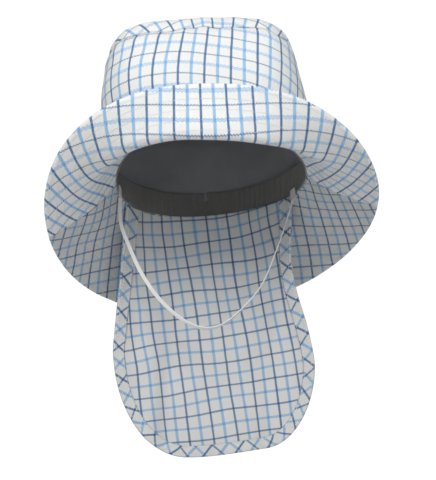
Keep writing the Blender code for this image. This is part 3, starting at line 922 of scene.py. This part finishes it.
def build_cape(cloth, wrong, facing_cloth, thread):
    levels = np.linspace(0.0, 1.0, 190)
    x, z = cape_grid(201, levels)
    rows = cape_points(x, z)
    sewn = np.clip((z - cape_top(x) + 0.006) / 0.006, 0.0, 1.0)
    rows[..., 1] += 0.0006 * sewn
    uv = turned(cape_uv(x, z), CAPE_TURN) + np.array(CAPE_SHIFT) + cape_warp(x, z)
    obj = cloth_piece("cape_cloth", rows, uv)
    # The faces towards the front get the wrong side, which is darkened all over as painted shade.
    paint(obj, cloth, wrong=wrong)
    blend_cape(obj)
    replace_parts(obj, "cape_panel", "cape_sewn_edge")
    facing, outline, inner = build_facing(facing_cloth)
    front, back = FACING_AWAY + CLOTH / 2, -CLOTH / 2
    lines = [
        row_at(inner, 0.0013, front, 1.0), row_at(outline, 0.0022, front, 1.0),
        row_at(outline, 0.0022, back, -1.0), row_at(inner, 0.0013, back, -1.0),
    ]
    sewing = stitches("cape_stitches", lines, "cape", thread)


def outline_of_cape():
    """The cape's edge in x and z, from its top left, round the hem, to its top right."""
    xs = cape_columns(401)
    hem = cape_hem(xs)
    top_left = float(cape_top(np.array(CAPE_SIDE_LEFT[0])))
    top_right = float(cape_top(np.array(CAPE_SIDE_RIGHT[0])))
    down = np.linspace(top_left - 0.004, hem[0], 90)[:-1]
    up = np.linspace(hem[-1], top_right - 0.004, 90)[1:]
    outline = np.vstack([
        np.stack([cape_side(down, "left"), down], axis=-1), np.stack([xs, hem], axis=-1),
        np.stack([cape_side(up, "right"), up], axis=-1),
    ])
    run = run_of(outline)
    even = np.linspace(0.0, run[-1], 560)
    return np.stack([np.interp(even, run, outline[:, i]) for i in range(2)], axis=-1), even


def inward_of(outline):
    along = np.gradient(outline, axis=0)
    for _ in range(12):
        along[1:-1] = (along[:-2] + along[1:-1] + along[2:]) / 3
    along = unit(along)
    return np.stack([-along[:, 1], along[:, 0]], axis=-1)


def row_at(outline, across, lift, side):
    """A line inside the cape's outline, lifted off its face, for a row of stitches."""
    place = outline + inward_of(outline) * across
    line = cape_points(place[:, 0], place[:, 1], lift)
    normal = cape_points(place[:, 0], place[:, 1], 1.0) - cape_points(place[:, 0], place[:, 1])
    return line, normal * side


def build_facing(cloth):
    """A bias strip down the cape's sides and along its hem, on the face towards the neck."""
    outline, run = outline_of_cape()
    inward = inward_of(outline)
    across = np.concatenate([[0.0], np.linspace(0.0006, FACING_WIDTH - 0.0006, 13), [FACING_WIDTH]])
    place = outline[:, None] + inward[:, None] * across[None, :, None]
    lift = np.full((len(outline), len(across)), FACING_AWAY)
    lift[:, 0] = 0.0007
    lift[:, -1] = 0.0008
    puff = 0.00022 * ripples(run[:, None] * 420.0, across[None] * 200.0, 41)
    lift[:, 1:-1] += np.abs(puff[:, 1:-1])
    rows = cape_points(place[..., 0], place[..., 1], lift)
    uv = np.stack([run[:, None] + 0 * across, across[None] + 0 * run[:, None]], axis=-1)
    uv = turned(uv, BIAS_TURN)
    obj = cloth_piece("cape_facing_cloth", rows, uv)
    paint(obj, cloth)
    blend_cape(obj)
    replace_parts(obj, "cape_bias_facing")
    return obj, outline, outline + inward * FACING_WIDTH - inward * 0.0026


# ---- the chin cord and its tabs

def tab_place(angle):
    return Vector(leaned(opening_point(np.float64(angle), TAB_INSET)))


def cord_line(start, end, count):
    """The cord's centreline through its route, in the upright plane of its two ends."""
    route = np.array([
        [*(start + (end - start) * share)[:2], start.z + (end.z - start.z) * share + drop]
        for share, drop in CORD_ROUTE
    ])
    knots = np.vstack([2 * route[0] - route[1], route, 2 * route[-1] - route[-2]])
    fine = []
    for a, b, c, d in zip(knots, knots[1:], knots[2:], knots[3:]):
        for t in np.linspace(0.0, 1.0, 24, endpoint=False):
            fine.append(0.5 * (
                2 * b + (c - a) * t + (2 * a - 5 * b + 4 * c - d) * t ** 2
                + (3 * b - a - 3 * c + d) * t ** 3
            ))
    fine = np.array(fine + [route[-1]])
    along = run_of(fine)
    even = np.linspace(0.0, along[-1], count)
    return np.stack([np.interp(even, along, fine[:, i]) for i in range(3)], axis=-1), along[-1]


def build_cord(elastic):
    """Flat elastic in a hanging loop. It turns over on its way, from its face to its edge."""
    down = Vector((0.0, 0.0, -TAB_HEIGHT / 2 - CORD_BELOW_TAB))
    start, end = tab_place(TAB_LEFT_ANGLE) + down, tab_place(TAB_RIGHT_ANGLE) + down
    line, length = cord_line(start, end, 420)
    for _ in range(6):
        line[1:-1] = (line[:-2] + 2 * line[1:-1] + line[2:]) / 4
    share = np.linspace(0.0, 1.0, len(line))
    ahead = unit(np.gradient(line, axis=0))
    flat_out = unit(np.cross(unit(np.array(end - start)), UP))
    level = np.cross(flat_out, ahead)
    turn = np.radians(through(share, CORD_TURN_PLACES, CORD_TURN_DEGREES))
    wide = level * np.cos(turn)[:, None] + flat_out * np.sin(turn)[:, None]
    thin = np.cross(ahead, wide)
    sides = 36
    round_ = np.linspace(0.0, 2 * math.pi, sides, endpoint=False)
    cosine, sine = np.cos(round_), np.sin(round_)
    deep, narrow = CORD_GROOVE
    w = np.sign(cosine) * np.abs(cosine) ** 0.8 * CORD_HALF_WIDTH
    h = np.sign(sine) * np.abs(sine) ** 0.75 * (CORD_HALF_THICKNESS - deep * np.exp(-(w / narrow) ** 2))
    points = line[:, None] + wide[:, None] * w[None, :, None] + thin[:, None] * h[None, :, None]
    uv = np.stack(np.broadcast_arrays((share * length)[:, None], w[None]), axis=-1)
    index = np.arange(len(line) * sides).reshape(len(line), sides)
    a, b = index[:-1], index[1:]
    faces = np.stack([a, b, np.roll(b, -1, 1), np.roll(a, -1, 1)], axis=-1).reshape(-1, 4).tolist()
    faces += [index[0].tolist(), index[-1][::-1].tolist()]
    obj = mesh_object("chin_cord_elastic", points.reshape(-1, 3), faces, uv.reshape(-1, 2))
    paint(obj, elastic)
    axis = (end - start).normalized()
    drop = Vector((0.0, 0.0, -1.0))
    drop = (drop - axis * drop.dot(axis)).normalized()
    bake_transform(obj)
    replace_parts(obj, "chin_cord")


def build_tab(name, node, angle, tape, thread):
    """A folded tape whose two plies hold the end of the elastic, sewn inside the sweatband."""
    out = np.array([math.sin(angle), -math.cos(angle), 0.0])
    side = np.array([math.cos(angle), math.sin(angle), 0.0])
    centre = opening_point(np.float64(angle), TAB_INSET)
    across = np.linspace(-TAB_HALF_WIDTH, TAB_HALF_WIDTH, 17)
    height = np.linspace(TAB_HEIGHT / 2, -TAB_HEIGHT / 2 - 0.0022, 25)
    a, h = np.meshgrid(across, height, indexing="ij")
    swell = smooth((0.001 - h) / 0.004) * np.exp(-(a / 0.0024) ** 4)
    objects, lines = [], []
    for way in (1.0, -1.0):
        apart = way * (0.00032 + 0.00048 * swell)
        rows = centre + a[..., None] * side + h[..., None] * UP - apart[..., None] * out
        rows = leaned(rows)
        uv = np.stack([a, h], axis=-1)
        obj = cloth_piece(f"{name}_ply", rows, uv, thickness=LINING_CLOTH)
        objects.append(obj)
        if way > 0:
            face = grid_normals(rows)
            inner = np.sign(-(face[8, 12] * leaned(out)).sum())
            up_face = face * inner
            places = [np.s_[2:-2, low] for low in (3, 5, 7)] + [np.s_[column, 2:-4] for column in (2, 14)]
            lines = [(rows[at] + up_face[at] * LINING_CLOTH / 2, up_face[at]) for at in places]
    tab = objects[0]
    with bpy.context.temp_override(
        active_object=tab, object=tab, selected_editable_objects=objects, selected_objects=objects
    ):
        bpy.ops.object.join()
    tab.name = name
    on_hat(tab, tape, node)
    stitches(f"{name}_stitches", lines, "hat", thread, length=0.0016, radius=0.00020)


# ---- floor, light and background

def build_stage():
    far = FLOOR_REACH
    corners = [(-far, -far, 0), (far, -far, 0), (far, far, 0), (-far, far, 0)]
    plane = mesh_object("floor", corners, [(0, 1, 2, 3)])
    plane.location = (0.0, 0.0, FLOOR_HEIGHT)
    floor = Nodes("floor")
    floor.set(Base_Color=(0.74, 0.74, 0.74, 1.0), Roughness=0.9)
    plane.data.materials.append(floor.material)


def area_light(name, place, target, size, power, colour=(1.0, 1.0, 1.0)):
    data = bpy.data.lights.new(name, "AREA")
    data.shape = "DISK"
    data.size = size
    data.energy = power
    data.color = colour
    light = bpy.data.objects.new(name, data)
    light.location = place
    light.rotation_euler = (Vector(target) - Vector(place)).to_track_quat("-Z", "Y").to_euler()
    bpy.context.collection.objects.link(light)


def build_light():
    """Three soft lights. The world looks white to the camera, and lights the hat only faintly."""
    scene = bpy.context.scene
    scene.view_settings.view_transform = "Standard"
    scene.view_settings.look = "None"
    world = bpy.data.worlds.new("world")
    world.use_nodes = True
    tree = world.node_tree
    tree.nodes.clear()
    output = tree.nodes.new("ShaderNodeOutputWorld")
    seen = tree.nodes.new("ShaderNodeBackground")
    lit = tree.nodes.new("ShaderNodeBackground")
    path = tree.nodes.new("ShaderNodeLightPath")
    mix = tree.nodes.new("ShaderNodeMixShader")
    seen.inputs["Color"].default_value = (1.0, 1.0, 1.0, 1.0)
    seen.inputs["Strength"].default_value = 1.05
    lit.inputs["Color"].default_value = (0.93, 0.96, 1.0, 1.0)
    lit.inputs["Strength"].default_value = 0.20
    tree.links.new(path.outputs["Is Camera Ray"], mix.inputs[0])
    tree.links.new(lit.outputs[0], mix.inputs[1])
    tree.links.new(seen.outputs[0], mix.inputs[2])
    tree.links.new(mix.outputs[0], output.inputs["Surface"])
    scene.world = world
    area_light("key", (-0.45, -1.9, 0.95), (0.0, 0.0, 0.0), 1.0, 38.0, (1.0, 0.99, 0.97))
    area_light("fill", (0.95, -1.8, 0.55), (0.0, 0.0, -0.05), 1.2, 11.0, (0.96, 0.98, 1.0))
    area_light("back", (0.3, 1.9, 1.6), (0.0, 0.0, 0.0), 1.6, 24.0)


build_camera()
right_side = check_cloth("checked_right_side", zigzag=1.0, soil=0.05)
brim_cloth = check_cloth("checked_brim", zigzag=1.0)
# The back brim's under ply is a copy of the check darkened all over as painted shade, with softer lines.
back_brim_cloth_with_painted_shade = check_cloth(
    "checked_back_brim_painted_shade", zigzag=0.4, weft=1.35, soften=0.2, soil=0.04, painted_shade_factor=0.74
)
# The cape's wrong side and its bias facing: blurred lines as on the wrong side, and darkened all over as
# painted shade.
wrong_side_with_painted_shade = check_cloth("checked_cape_wrong_side_painted_shade", zigzag=0.2, weft=1.35, soften=0.3, soil=0.06, painted_shade_factor=0.72)
bias_cloth_with_painted_shade = check_cloth("checked_bias_painted_shade", zigzag=0.2, weft=1.35, soften=0.3, painted_shade_factor=0.73)
lining_cloth = dark_cloth("lining", (0.295, 0.305, 0.320), weave=0.0009)
band_cloth = dark_cloth("sweatband", (0.215, 0.208, 0.200), weave=0.0007, streak=0.0022)
stiffener = dark_cloth("interlining", (0.70, 0.70, 0.68), weave=0.0012, fuzz=0.0)
white_thread = braid("white_thread", (0.86, 0.86, 0.84))
dark_thread = braid("dark_thread", (0.055, 0.052, 0.050))
elastic_braid = braid("elastic", (0.90, 0.89, 0.87))
tape_cloth = braid("tape", (0.84, 0.83, 0.80))

build_cord(elastic_braid)
build_tab("cord_tab_left_tape", "cord_tab_left", TAB_LEFT_ANGLE, tape_cloth, white_thread)
build_tab("cord_tab_right_tape", "cord_tab_right", TAB_RIGHT_ANGLE, tape_cloth, white_thread)
build_crown(right_side, lining_cloth, band_cloth, white_thread, dark_thread)
build_brim(brim_cloth, back_brim_cloth_with_painted_shade, stiffener, white_thread)
build_cape(right_side, wrong_side_with_painted_shade, bias_cloth_with_painted_shade, white_thread)
build_stage()
build_light()
